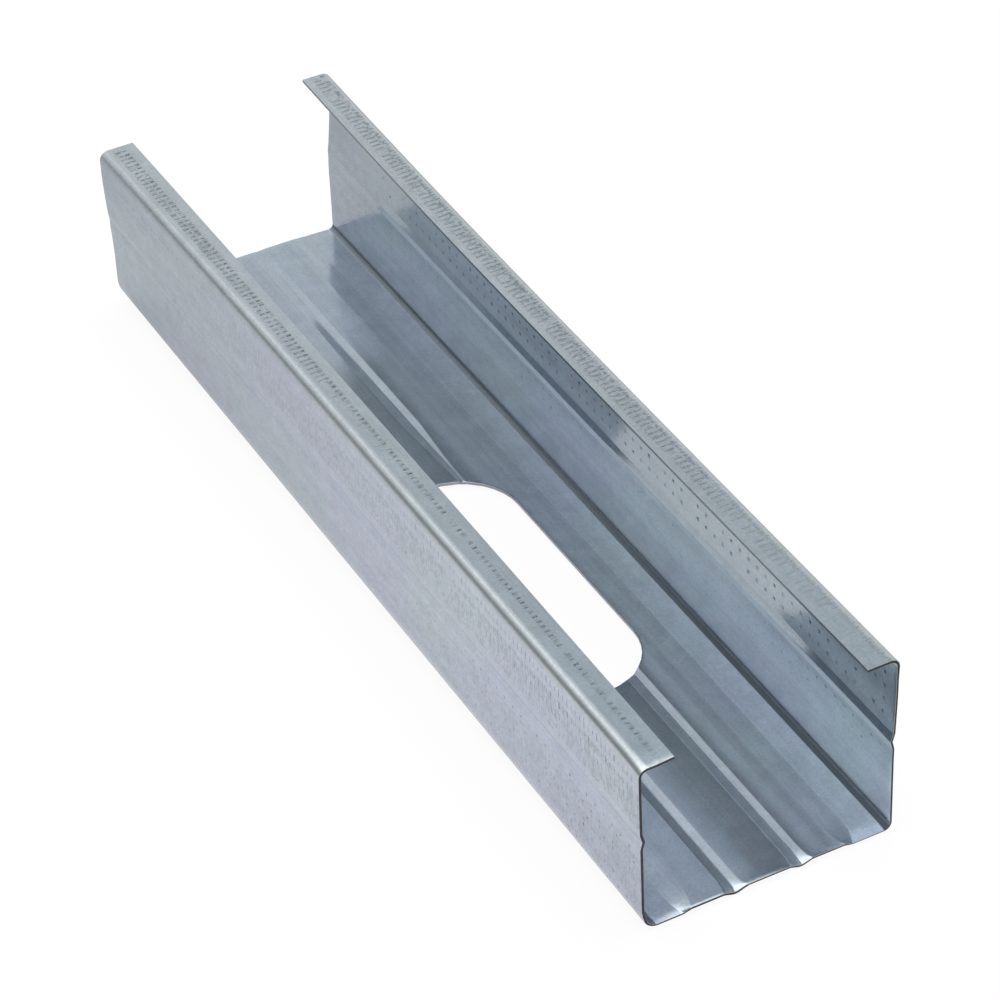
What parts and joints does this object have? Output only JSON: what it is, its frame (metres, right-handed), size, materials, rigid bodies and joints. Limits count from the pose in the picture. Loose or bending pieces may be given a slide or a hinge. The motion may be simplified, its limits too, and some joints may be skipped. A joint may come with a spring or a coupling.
{
  "type": "steel stud",
  "caption": "Lipped C-shaped partition stud in thin galvanised sheet, with a ribbed web, grooved and knurled flanges and a round-ended cable slot through the web.",
  "frame": {"origin": "mid-length, on the centre line of the web, in the plane of the web's underside", "axes": "+Z from the web towards the lips, +Y along the stud away from the end nearest the cable slot, +X towards the taller flange"},
  "size_m": [0.0466, 0.2, 0.036],
  "materials": {
    "galvanised_steel": "satin hot-dip galvanised coating, finely spangled, knurled on the flanges and lips"
  },
  "bodies": {
    "root": {"steel_stud": "galvanised_steel"}
  },
  "joints": []
}
